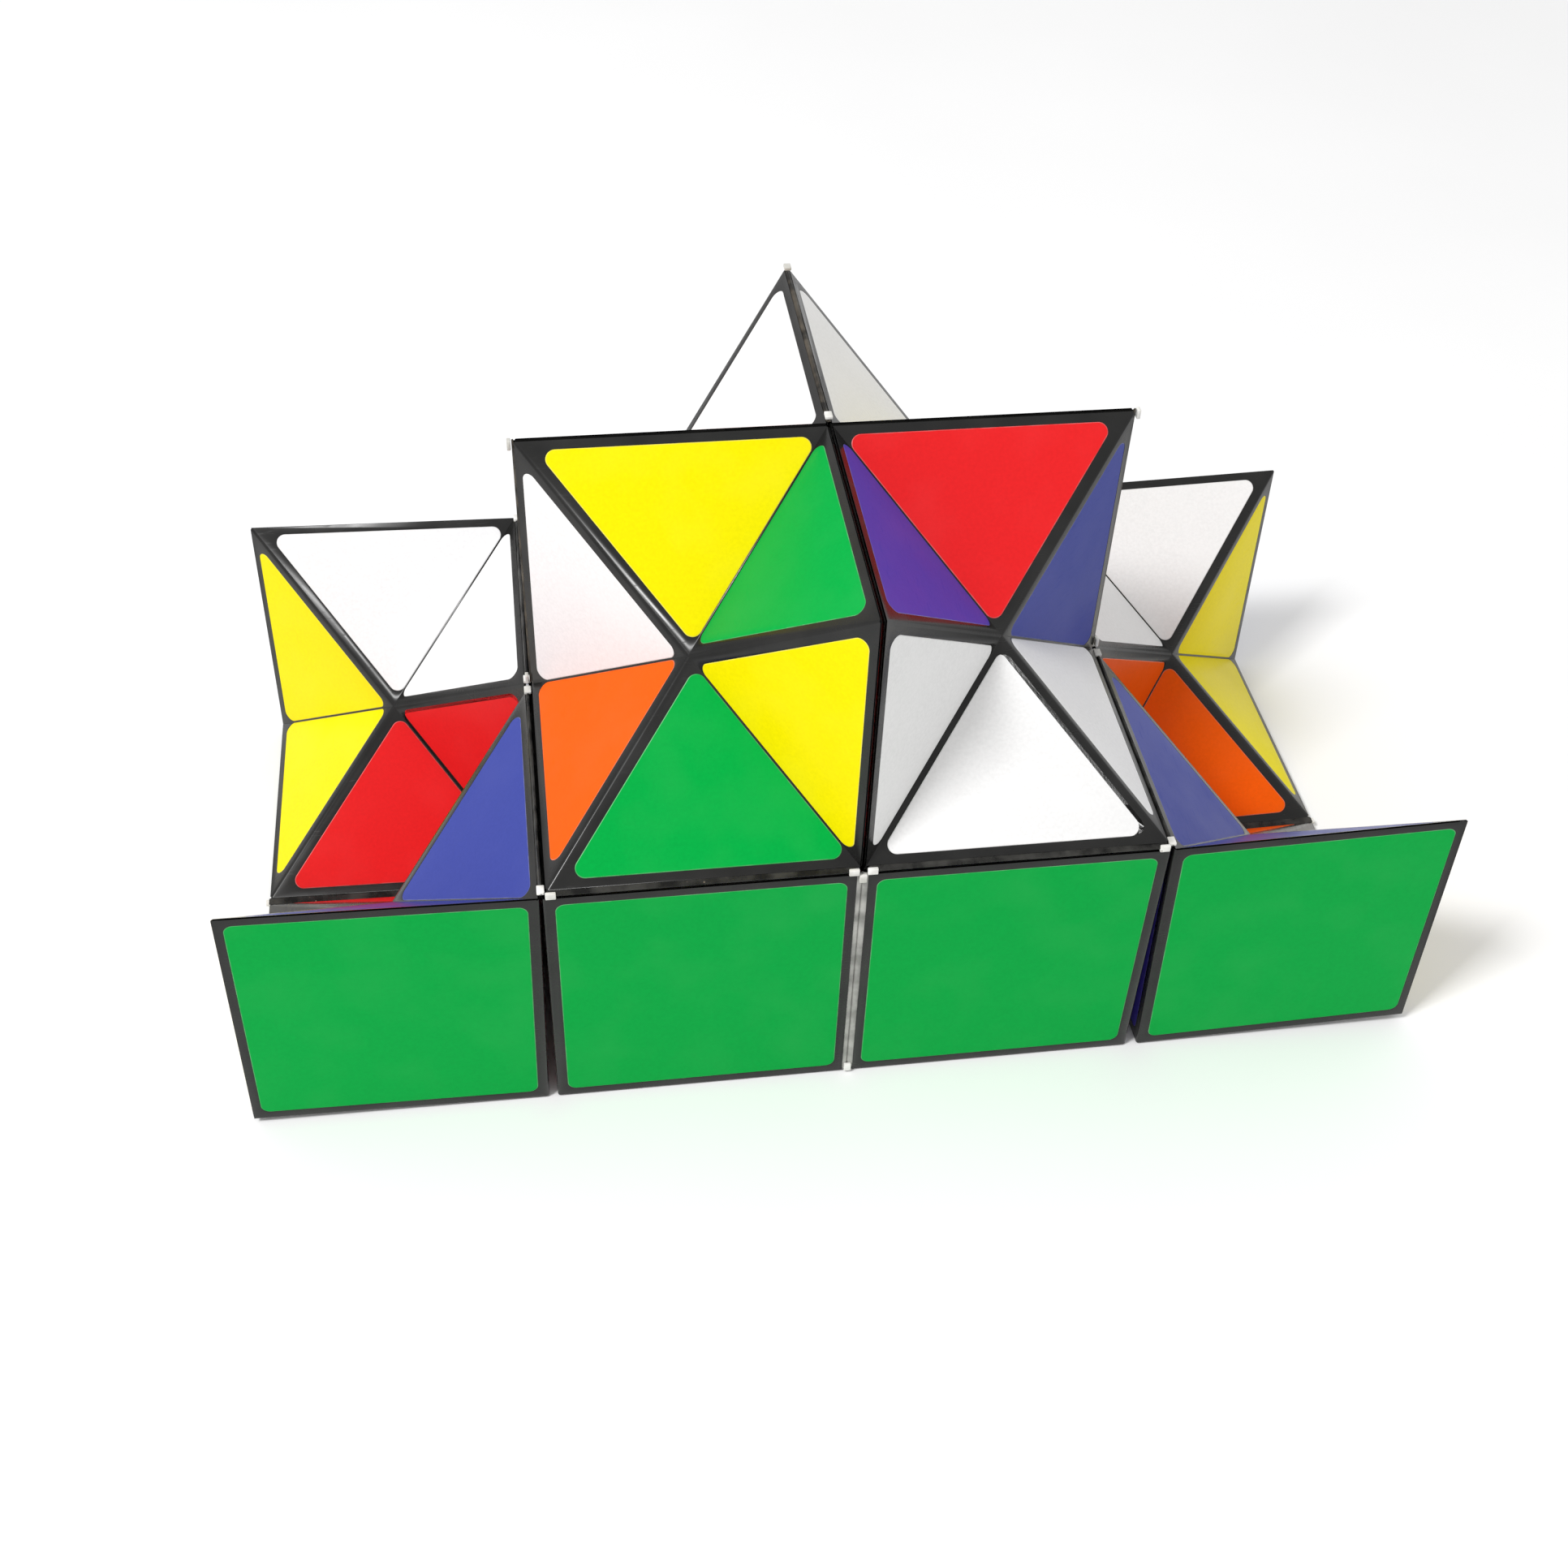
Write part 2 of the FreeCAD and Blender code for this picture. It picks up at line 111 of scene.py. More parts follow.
class Graph:
    """A material's or a group's node tree, with short ways to add and join nodes."""

    def __init__(self, tree: bpy.types.NodeTree) -> None:
        """Keep the tree.

        Args:
            tree: the node tree that nodes are added to.
        """
        self.tree = tree

    def add(self, kind: str, **settings: object) -> bpy.types.Node:
        """Add a node.

        Args:
            kind: the node's type, without its ShaderNode prefix.
            settings: attributes to set on the node.

        Returns:
            The new node.
        """
        node = self.tree.nodes.new(f"ShaderNode{kind}")
        for name, value in settings.items():
            setattr(node, name, value)
        return node

    def set(self, node: bpy.types.Node, **values: object) -> bpy.types.Node:
        """Set input sockets by name, with underscores for spaces, or link them to another socket.

        Args:
            node: the node whose inputs are set.
            values: a number, colour or output socket for each input.

        Returns:
            The same node.
        """
        for name, value in values.items():
            socket = node.inputs[name.replace("_", " ")]
            if isinstance(value, Socket):
                self.tree.links.new(value, socket)
            else:
                socket.default_value = value
        return node

    def noise(self, where: Socket, scale: float, detail: float) -> Socket:
        """Add a noise pattern.

        Args:
            where: the coordinates that it reads.
            scale: cells per metre.
            detail: octaves.

        Returns:
            The pattern's value socket.
        """
        node = self.set(self.add("TexNoise"), Vector=where, Scale=scale, Detail=detail)
        return node.outputs["Fac"]

    def calc(self, operation: str, *values: Socket | float) -> Socket:
        """Add a calculation.

        Args:
            operation: what it does, as Blender's math node names it.
            values: its operands in order.

        Returns:
            The result's socket.
        """
        node = self.add("Math", operation=operation)
        for socket, value in zip(node.inputs, values):
            if isinstance(value, Socket):
                self.tree.links.new(value, socket)
            else:
                socket.default_value = value
        return node.outputs[0]

    def spread(self, value: Socket, low: float, high: float, to: tuple[float, float]) -> Socket:
        """Stretch part of a value's range over another range, and clamp it there.

        Args:
            value: the socket that is read.
            low: the value that becomes the first of to.
            high: the value that becomes the second of to.
            to: the range of the result.

        Returns:
            The result's socket.
        """
        node = self.add("MapRange", clamp=True)
        self.set(node, Value=value, From_Min=low, From_Max=high, To_Min=to[0], To_Max=to[1])
        return node.outputs["Result"]

    def mix(self, factor: Socket | float, first: object, second: object) -> Socket:
        """Mix two colours.

        Args:
            factor: how much of the second colour.
            first: a colour or a colour socket.
            second: a colour or a colour socket.

        Returns:
            The mixed colour's socket.
        """
        node = self.add("Mix", data_type="RGBA")
        for index, value in ((0, factor), (6, first), (7, second)):
            socket = node.inputs[index]
            if isinstance(value, Socket):
                self.tree.links.new(value, socket)
            else:
                socket.default_value = (*value, 1.0) if isinstance(value, tuple) else value
        return node.outputs[2]


def new_group(
    name: str, inputs: dict[str, float], outputs: tuple[str, ...]
) -> tuple[Graph, dict[str, Socket], bpy.types.Node]:
    """Start a shader node group with float inputs and outputs, and coordinates as its first input.

    Args:
        name: the group's name.
        inputs: each float input's name and default.
        outputs: the names of the float outputs.

    Returns:
        The group's graph, its inputs by name, and its output node.
    """
    tree = bpy.data.node_groups.new(name, "ShaderNodeTree")
    tree.interface.new_socket("Coordinates", in_out="INPUT", socket_type="NodeSocketVector")
    for label, default in inputs.items():
        given = tree.interface.new_socket(label, in_out="INPUT", socket_type="NodeSocketFloat")
        given.default_value = default
    for label in outputs:
        tree.interface.new_socket(label, in_out="OUTPUT", socket_type="NodeSocketFloat")
    entry, leave = tree.nodes.new("NodeGroupInput"), tree.nodes.new("NodeGroupOutput")
    return Graph(tree), {socket.name: socket for socket in entry.outputs if socket.name}, leave


def handling_group() -> bpy.types.NodeTree:
    """Smudges and fine scratches from handling.

    Returns:
        A group that gives a roughness change and a bump height.
    """
    defaults = {"Smudge Size": 90.0, "Strength": 1.0}
    graph, given, leave = new_group("HandlingMarks", defaults, ("Roughness", "Height"))
    where = given["Coordinates"]
    smudge = graph.set(graph.add("TexNoise"), Vector=where, Scale=given["Smudge Size"], Detail=3.0)
    stretched = graph.add("Mapping")
    graph.set(stretched, Vector=where, Scale=(1.0, 1.0, 9.0), Rotation=(0.6, 0.4, 0.9))
    scratch = graph.noise(stretched.outputs["Vector"], 420.0, 2.0)
    smudged = graph.spread(smudge.outputs["Fac"], 0.42, 0.68, (0.0, 0.16))
    scratched = graph.spread(scratch, 0.60, 0.74, (0.0, 0.12))
    total = graph.calc("ADD", smudged, scratched)
    graph.set(leave, Roughness=graph.calc("MULTIPLY", total, given["Strength"]), Height=scratch)
    return graph.tree


def speck_group() -> bpy.types.NodeTree:
    """Small specks and flaws, a few to each face.

    Returns:
        A group that gives a mask, 1 inside a speck.
    """
    graph, given, leave = new_group("Specks", {"Spacing": 260.0, "Size": 0.05}, ("Mask",))
    where = given["Coordinates"]
    cells = graph.set(graph.add("TexVoronoi"), Vector=where, Scale=given["Spacing"], Randomness=1.0)
    wobble = graph.calc("MULTIPLY_ADD", graph.noise(where, 1400.0, 2.0), 0.14, cells.outputs["Distance"])
    inside = graph.calc("LESS_THAN", wobble, given["Size"])
    few = graph.spread(graph.noise(where, 75.0, 1.0), 0.54, 0.60, (0.0, 1.0))
    graph.set(leave, Mask=graph.calc("MULTIPLY", inside, few))
    return graph.tree


class Workshop:
    """The node groups that the finishes share, built once."""

    def __init__(self) -> None:
        """Build both groups."""
        self.handling = handling_group()
        self.specks = speck_group()

    def place(
        self, graph: Graph, tree: bpy.types.NodeTree, where: Socket, **values: float
    ) -> bpy.types.Node:
        """Put a group in a material.

        Args:
            graph: the material's graph.
            tree: the group.
            where: the coordinates that it reads.
            values: its float inputs, with underscores for spaces.

        Returns:
            The group's node.
        """
        node = graph.add("Group", node_tree=tree)
        return graph.set(node, Coordinates=where, **values)


@dataclass(frozen=True)
class ShellPlastic:
    """Glossy black moulded plastic, with smudges, hairline scratches and a little pale dust."""

    colour: RGB = (0.009, 0.009, 0.0087)
    scuffed: RGB = (0.036, 0.035, 0.033)
    dust: RGB = (0.20, 0.19, 0.17)
    roughness: float = 0.20
    gloss: float = 0.3

    def build(self, shop: Workshop) -> bpy.types.Material:
        """Make the material.

        Args:
            shop: the shared groups.

        Returns:
            The material.
        """
        material, graph, shader, where = new_material("shell_plastic")
        marks = shop.place(graph, shop.handling, where, Smudge_Size=110.0, Strength=0.9)
        specks = shop.place(graph, shop.specks, where, Spacing=330.0, Size=0.07)
        cloud = graph.spread(graph.noise(where, 160.0, 4.0), 0.35, 0.75, (0.0, 0.35))
        body = graph.mix(cloud, self.colour, self.scuffed)
        dusted = graph.mix(specks.outputs["Mask"], body, self.dust)
        roughness = graph.calc("ADD", marks.outputs["Roughness"], self.roughness)
        grain = graph.noise(where, 900.0, 3.0)
        bump = graph.set(graph.add("Bump"), Height=grain, Strength=0.05, Distance=0.02 * MM)
        graph.set(shader, Base_Color=dusted, Roughness=roughness, Normal=bump.outputs["Normal"])
        graph.set(shader, Specular_IOR_Level=self.gloss)
        return material


@dataclass(frozen=True)
class StickerPrint:
    """Printed film sticker: a slightly uneven ink, small flaws, and a gloss that ripples a little."""

    hue: Hue
    roughness: float = 0.3
    gloss: float = 0.045
    white_flaw: RGB = (0.32, 0.31, 0.30)

    def build(self, shop: Workshop) -> bpy.types.Material:
        """Make the material.

        Args:
            shop: the shared groups.

        Returns:
            The material.
        """
        material, graph, shader, where = new_material(f"sticker_{self.hue.name.lower()}")
        base: RGB = self.hue.value
        pale = tuple(channel + (1.0 - channel) * 0.012 for channel in base)
        deep = tuple(channel * 0.93 for channel in base)
        ink = graph.mix(graph.spread(graph.noise(where, 2600.0, 3.0), 0.3, 0.7, (0.0, 1.0)), deep, base)
        patchy = graph.mix(graph.spread(graph.noise(where, 120.0, 3.0), 0.45, 0.75, (0.0, 0.6)), ink, pale)
        flaw: RGB = self.white_flaw if self.hue is Hue.WHITE else pale_flaw(base)
        specks = shop.place(graph, shop.specks, where, Spacing=210.0, Size=0.045)
        marks = shop.place(graph, shop.handling, where, Smudge_Size=70.0, Strength=0.8)
        printed = graph.mix(specks.outputs["Mask"], patchy, flaw)
        roughness = graph.calc("ADD", marks.outputs["Roughness"], self.roughness)
        wave = graph.noise(where, 170.0, 2.0)
        ripple = graph.set(graph.add("Bump"), Height=wave, Strength=0.25, Distance=0.05 * MM)
        flaws = graph.add("Bump", invert=True)
        graph.set(flaws, Height=specks.outputs["Mask"], Strength=0.5, Distance=0.03 * MM)
        graph.set(flaws, Normal=ripple.outputs["Normal"])
        graph.set(shader, Base_Color=printed, Roughness=roughness, Normal=flaws.outputs["Normal"])
        graph.set(shader, Specular_IOR_Level=self.gloss)
        return material


@dataclass(frozen=True)
class CutEdge:
    """The cut edge of a sticker, where the white film shows under the ink."""

    hue: Hue
    roughness: float = 0.45

    def build(self) -> bpy.types.Material:
        """Make the material.

        Returns:
            The material.
        """
        material, graph, shader, where = new_material(f"cut_edge_{self.hue.name.lower()}")
        base: RGB = self.hue.value
        film = tuple(channel * 0.75 + 0.10 for channel in base)
        worn = graph.spread(graph.noise(where, 700.0, 3.0), 0.38, 0.62, (0.15, 1.0))
        graph.set(shader, Base_Color=graph.mix(worn, base, film), Roughness=self.roughness)
        return material


@dataclass(frozen=True)
class HingeFilm:
    """Cloudy translucent hinge film, with paler stressed stretches and fine wrinkles along it."""

    name: str
    # The film's colour and its paler stressed colour; for the folded and gap films both are darkened as
    # painted shade.
    clear: RGB
    stressed: RGB
    roughness: float = 0.32
    opacity: float = 0.9
    gloss: float = 0.12
    dirt: RGB = (0.24, 0.20, 0.15)

    def build(self, shop: Workshop) -> bpy.types.Material:
        """Make the material.

        Args:
            shop: the shared groups.

        Returns:
            The material.
        """
        material, graph, shader, where = new_material(self.name)
        stress = graph.spread(graph.noise(where, 380.0, 4.0), 0.38, 0.64, (0.0, 1.0))
        marks = shop.place(graph, shop.handling, where, Smudge_Size=260.0, Strength=1.4)
        specks = shop.place(graph, shop.specks, where, Spacing=900.0, Size=0.16)
        milky = graph.mix(stress, self.clear, self.stressed)
        soiled = graph.mix(specks.outputs["Mask"], milky, self.dirt)
        roughness = graph.calc("ADD", marks.outputs["Roughness"], self.roughness)
        fine = graph.noise(where, 2200.0, 3.0)
        wrinkle = graph.set(graph.add("Bump"), Height=fine, Strength=0.4, Distance=0.04 * MM)
        graph.set(shader, Base_Color=soiled, Roughness=roughness, Normal=wrinkle.outputs["Normal"])
        graph.set(shader, Alpha=self.opacity, Specular_IOR_Level=self.gloss)
        return material


def new_material(name: str) -> tuple[bpy.types.Material, Graph, bpy.types.Node, Socket]:
    """Start a material.

    Args:
        name: the material's name.

    Returns:
        The material, its graph, its shader and the object coordinates.
    """
    material = bpy.data.materials.new(name)
    material.use_nodes = True
    graph = Graph(material.node_tree)
    shader = material.node_tree.nodes["Principled BSDF"]
    where = graph.add("TexCoord").outputs["Object"]
    return material, graph, shader, where


def pale_flaw(base: RGB) -> RGB:
    """The colour of a flaw in an ink, where the white film shows through.

    Args:
        base: the ink's colour.

    Returns:
        A colour between the ink and white.
    """
    return tuple(channel * 0.45 + 0.38 for channel in base)


# --------------------------------------------------------------------------- modelling helpers


def select_only(piece: bpy.types.Object) -> None:
    """Deselect everything, then select a piece and make it active."""
    bpy.ops.object.select_all(action="DESELECT")
    piece.select_set(True)
    bpy.context.view_layer.objects.active = piece


@contextmanager
def editing(piece: bpy.types.Object) -> Iterator[bmesh.types.BMesh]:
    """Open a piece in edit mode with nothing selected.

    Args:
        piece: the mesh object.

    Yields:
        Its edit mesh. Changes to selection made there are in force for the operators.
    """
    select_only(piece)
    bpy.ops.object.mode_set(mode="EDIT")
    bpy.ops.mesh.select_all(action="DESELECT")
    try:
        yield bmesh.from_edit_mesh(piece.data)
    finally:
        bpy.ops.object.mode_set(mode="OBJECT")


def merged_copy(node: str, name: str) -> bpy.types.Object:
    """Copy a CAD node's mesh into a new piece with joined faces.

    Args:
        node: the CAD node.
        name: the piece's name.

    Returns:
        The new piece, with flat stretches as single faces and no custom normals.
    """
    piece = bpy.data.objects.new(name, frame["nodes"][node].data.copy())
    bpy.context.scene.collection.objects.link(piece)
    piece.data.materials.clear()
    select_only(piece)
    bpy.ops.mesh.customdata_custom_splitnormals_clear()
    with editing(piece):
        bpy.ops.mesh.select_all(action="SELECT")
        bpy.ops.mesh.remove_doubles(threshold=SAME_POINT)
        bpy.ops.mesh.dissolve_limited(angle_limit=SAME_PLANE)
    return piece


def finish_piece(nodes: tuple[str, ...]) -> None:
    """Hide the CAD nodes that a piece stands for.

    Args:
        nodes: the CAD nodes that it replaces.
    """
    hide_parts(*nodes)


# --------------------------------------------------------------------------- the puzzle's layout


@dataclass(frozen=True)
class Layout:
    """The cells that the half-cubes fill, from the frame's hinge lines."""

    cell: float
    play: float
    left_tilt: float
    right_tilt: float

    @classmethod
    def from_frame(cls) -> "Layout":
        """Read the cell's size, the play and the doors' rest angles from the joints.

        Returns:
            The layout.
        """
        joints = {joint["name"]: joint for joint in frame["joints"]}
        left, right = joints["left_door_fold"], joints["right_door_fold"]
        cell = -left["pos_m"][0]
        return cls(
            cell=cell,
            play=cell - left["pos_m"][2],
            left_tilt=math.radians(-left["range_deg"][0]),
            right_tilt=math.radians(-right["range_deg"][0]),
        )

    def point(self, corner: tuple[float, float, float]) -> Vector:
        """Where a point given in cells is.

        Args:
            corner: the point, with the case's middle cells at x 0 to 2 and y 0 to 2.

        Returns:
            The point in the frame, with the doors flat.
        """
        x, y, z = corner
        return Vector(((x - 1) * self.cell, (y - 1) * self.cell, z * self.cell - self.play))

    def door_turn(self, name: str) -> Matrix:
        """How a door's half-cube is turned from flat as it lies.

        Args:
            name: the half-cube's name.

        Returns:
            The turn about its hinge line, or no turn for other half-cubes.
        """
        if not name.endswith("_door"):
            return Matrix.Identity(4)
        left = "_left_" in name
        line = self.point((0 if left else 2, 0, 1))
        angle = self.left_tilt if left else -self.right_tilt
        return Matrix.Translation(line) @ Matrix.Rotation(angle, 4, "Y") @ Matrix.Translation(-line)


Corner = tuple[int, int, int]
Inks = dict[Hue, bpy.types.Material]

# How far the faces beside a moulding's ridges, and beside its thin rims, turn.
RIDGE_TURNS = (math.radians(50), math.radians(100))
RIM_TURNS = (math.radians(130), math.radians(180))
BEVEL_STEPS = 3
# Where a half-cube's inside is seen from: the share of the way from its cell's middle to its solid corner.
INSIDE_SHARE = 0.35

# A facet is named by two axes: that of the valley beside it and that of the ridge beside it.
FRONT_LEFT_STAR = {
    "zy": Hue.YELLOW, "zx": Hue.GREEN, "yx": Hue.YELLOW, "yz": Hue.GREEN, "xz": Hue.ORANGE, "xy": Hue.WHITE,
}
FRONT_RIGHT_STAR = {
    "zy": Hue.RED, "zx": Hue.PURPLE, "xy": Hue.BLUE, "xz": Hue.WHITE, "yz": Hue.WHITE, "yx": Hue.WHITE,
}
REAR_LEFT_STAR = {
    "zy": Hue.RED, "zx": Hue.WHITE, "xy": Hue.BLUE, "xz": Hue.WHITE, "yz": Hue.PURPLE, "yx": Hue.WHITE,
}
REAR_RIGHT_STAR = {
    "zy": Hue.YELLOW, "zx": Hue.WHITE, "xy": Hue.ORANGE, "xz": Hue.GREEN, "yz": Hue.YELLOW, "yx": Hue.GREEN,
}
STAR_FACETS = {
    ("front", "left"): FRONT_LEFT_STAR,
    ("front", "right"): FRONT_RIGHT_STAR,
    ("rear", "left"): REAR_LEFT_STAR,
    ("rear", "right"): REAR_RIGHT_STAR,
}
STAR_SQUARES = {"x": Hue.RED, "y": Hue.YELLOW, "z": Hue.BLUE}

# Stickers that sit off their place, with how far they moved along their edge from valley to ridge.
SHIFTED_STICKERS = {
    ("star_upper_front_right", "yz"): 0.65 * MM,
    ("case_rear_left_door", "yx"): 0.7 * MM,
}


@dataclass
class HalfCube:
    """One half-cube: its tray and cap with rounded edges, and its nine stickers."""

    name: str
    lowest: Corner
    solid: Corner
    layout: Layout
    body: str
    ridge_round: float = 0.30 * MM
    rim_round: float = 0.09 * MM
    cut_ring: float = 0.10 * MM
    cut_drop: float = 0.04 * MM
    smallest_print: float = 100 * MM * MM
    shortest_edge: float = 6 * MM
    smallest_wall: float = 10 * MM * MM
    pieces: list[bpy.types.Object] = field(default_factory=list)

    @property
    def towards_solid(self) -> list[float]:
        """The half-cube's solid corner, from the middle of its cell, in cells."""
        return [solid - low - 0.5 for low, solid in zip(self.lowest, self.solid)]

    def square_hue(self, axis: str) -> Hue:
        """The colour of the square across an axis.

        Args:
            axis: x, y or z.

        Returns:
            The sticker's colour.
        """
        if self.name.startswith("star"):
            return STAR_SQUARES[axis]
        if axis == "z":
            return Hue.WHITE if self.name.endswith("_door") else Hue.YELLOW
        if axis == "y":
            return Hue.GREEN if "_front_" in self.name else Hue.BLUE
        return Hue.RED if "_left" in self.name else Hue.PURPLE

    def facet_hue(self, valley: str, ridge: str) -> Hue:
        """The colour of a facet.

        Args:
            valley: the axis of the valley beside it.
            ridge: the axis of the ridge beside it.

        Returns:
            The sticker's colour.
        """
        if self.name.startswith("star"):
            _, level, row, side = self.name.split("_")
            if level == "lower":
                row = "rear" if row == "front" else "front"
                side = "right" if side == "left" else "left"
            return STAR_FACETS[row, side][valley + ridge]
        if valley == "z":
            return Hue.BLUE if "_front_" in self.name else Hue.WHITE
        if valley == "y":
            return Hue.RED if "_left" in self.name else Hue.ORANGE
        return Hue.YELLOW if self.name.endswith("_door") else Hue.GREEN

    def outline_corner(self, key: str, place: int) -> Vector:
        """A point of the half-cube's outline, from its middle, in cells.

        Args:
            key: a facet's two axes.
            place: 0 for the end of its valley, 1 for the end of its ridge.

        Returns:
            The offset from the middle of the cell.
        """
        axis = AXES.index(key[place])
        sign = (-1, 1)[place]
        return Vector([reach * (sign if i == axis else -sign) for i, reach in enumerate(self.towards_solid)])

    def place_of(self, centre: Vector) -> str:
        """Which square or facet a sticker lies on.

        Args:
            centre: the middle of the sticker's face, in the frame.

        Returns:
            The square's axis, or the facet's two axes.
        """
        flat = self.layout.door_turn(self.name).inverted() @ centre
        middle = self.layout.point(tuple(low + 0.5 for low in self.lowest))
        offset = (flat - middle).normalized()
        scores = {}
        for index, axis in enumerate(AXES):
            square = Vector([reach if i == index else 0.0 for i, reach in enumerate(self.towards_solid)])
            scores[axis] = offset.dot(square.normalized())
        for valley, ridge in permutations(AXES, 2):
            edge = self.outline_corner(valley + ridge, 0) + self.outline_corner(valley + ridge, 1)
            scores[valley + ridge] = offset.dot(edge.normalized())
        return max(scores, key=scores.get)

    def hue_of(self, key: str) -> Hue:
        """The colour of the sticker on a square or a facet."""
        return self.square_hue(key) if len(key) == 1 else self.facet_hue(*key)

    def shift_sticker(self, face: bmesh.types.BMFace, key: str) -> None:
        """Move a sticker along its edge, if it is one that sits off its place.

        Args:
            face: its printed face.
            key: the facet that it lies on.
        """
        if (self.name, key) not in SHIFTED_STICKERS:
            return
        found, fresh = {face}, [face]
        while fresh:
            beside = {other for edge in fresh.pop().edges for other in edge.link_faces} - found
            found |= beside
            fresh.extend(beside)
        way = self.outline_corner(key, 1) - self.outline_corner(key, 0)
        way = self.layout.door_turn(self.name).to_3x3() @ way.normalized()
        for vertex in {vertex for other in found for vertex in other.verts}:
            vertex.co += way * SHIFTED_STICKERS[self.name, key]

    def moulding(self, part: str, material: bpy.types.Material) -> bpy.types.Object:
        """Build the tray or the cap with its outer edges rounded.

        Args:
            part: tray or cap.
            material: the shell's finish.

        Returns:
            The piece.
        """
        node = f"{self.name}_{part}"
        piece = merged_copy(node, f"{node}_moulding")
        self.round_edges(piece, RIDGE_TURNS, self.ridge_round)
        self.round_edges(piece, RIM_TURNS, self.rim_round)
        piece.data.materials.append(material)
        select_only(piece)
        bpy.ops.object.shade_smooth_by_angle(angle=SHELL_SMOOTH)
        finish_piece((node,))
        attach(piece, self.body)
        self.pieces.append(piece)
        return piece

    def round_edges(self, piece: bpy.types.Object, angles: tuple[float, float], width: float) -> None:
        """Round the long outer edges whose faces turn by an angle in a range.

        Args:
            piece: the moulding.
            angles: the least and most that the two faces turn.
            width: the bevel's width on each face.
        """
        with editing(piece) as mesh:
            bpy.ops.mesh.select_mode(type="EDGE")
            for edge in mesh.edges:
                if len(edge.link_faces) != 2 or edge.calc_length() < self.shortest_edge:
                    continue
                wide = all(face.calc_area() > self.smallest_wall for face in edge.link_faces)
                turn = edge.calc_face_angle_signed(0.0)
                edge.select_set(wide and angles[0] <= turn <= angles[1])
            bmesh.update_edit_mesh(piece.data)
            bpy.ops.mesh.bevel(
                offset=width, segments=BEVEL_STEPS, profile=0.5, affect="EDGES", clamp_overlap=False
            )

    def stickers(self, prints: Inks, edges: Inks) -> bpy.types.Object:
        """Build the nine stickers, each with its colour and a dropped, cut edge.

        Args:
            prints: the printed finish of each colour.
            edges: the cut edge of each colour.

        Returns:
            The piece that holds them.
        """
        node = f"{self.name}_stickers"
        piece = merged_copy(node, f"{node}_printed")
        hues = list(Hue)
        for finishes in (prints, edges):
            for hue in hues:
                piece.data.materials.append(finishes[hue])
        with editing(piece) as mesh:
            printed = {}
            for face in mesh.faces:
                face.material_index = len(hues)
                if face.calc_area() > self.smallest_print:
                    key = self.place_of(face.calc_center_median())
                    outward = self.faces_out(face)
                    face.select_set(outward)
                    face.material_index = hues.index(self.hue_of(key)) + (0 if outward else len(hues))
                    if outward:
                        printed[face] = key
            for face, key in printed.items():
                self.shift_sticker(face, key)
            bmesh.update_edit_mesh(piece.data)
            bpy.ops.mesh.inset(thickness=self.cut_ring, depth=0.0, use_individual=True)
            for top in [face for face in mesh.faces if face.select]:
                ring = {other for edge in top.edges for other in edge.link_faces} - {top}
                for face in ring:
                    face.material_index = top.material_index + len(hues)
                for vertex in {vertex for face in ring for vertex in face.verts} - set(top.verts):
                    vertex.co -= top.normal * self.cut_drop
            bmesh.update_edit_mesh(piece.data)
        finish_piece((node,))
        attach(piece, self.body)
        self.pieces.append(piece)
        return piece

    def faces_out(self, face: bmesh.types.BMFace) -> bool:
        """Whether a sticker's large face looks out of the half-cube.

        Args:
            face: a large face of a sticker.

        Returns:
            True on the printed side.
        """
        inside = self.layout.door_turn(self.name) @ self.inner_point()
        return face.normal.dot(face.calc_center_median() - inside) > 0

    def inner_point(self) -> Vector:
        """A point inside the half-cube from which all its faces can be seen, with the doors flat."""
        middle = self.layout.point(tuple(low + 0.5 for low in self.lowest))
        return middle.lerp(self.layout.point(self.solid), INSIDE_SHARE)


# --------------------------------------------------------------------------- hinge film


# Each column of the sheet near the hinge line of an open strip: its side, its distance from the line in
# millimetres, and its rise and thickness as shares. The highest is the crease, which door strips don't have.
OPEN_CREASE = 1.9
OPEN_COLUMNS = (
    (0, 0.46, 1.0, 1.0),
    (0, 0.22, 1.15, 1.6),
    (0, 0.06, OPEN_CREASE, 1.0),
    (1, 0.16, 1.2, 1.8),
    (1, 0.46, 1.0, 1.0),
)
# The same for a folded strip: its side, its distance off the squares, and its rise and thickness as shares.
FOLDED_COLUMNS = ((0, 0.14, 1.1, 1.0), (0, 0.0, 0.9, 1.12), (1, 0.14, 1.1, 1.0))
# The same for a strip across a joint: its side, its distance along the slot, and its thickness as a share.
TURNING_COLUMNS = ((0, 0.30, 1.5), (0, 0.10, 1.6), (1, 0.10, 1.6), (1, 0.30, 1.5))
# The sheet in the slot: its distance from the line, and how much shorter each of its ends is, in millimetres.
MOUTH_COLUMNS = ((0.95, 1.1), (0.66, 0.3))
SLOT_DEPTH = 2.6 * MM


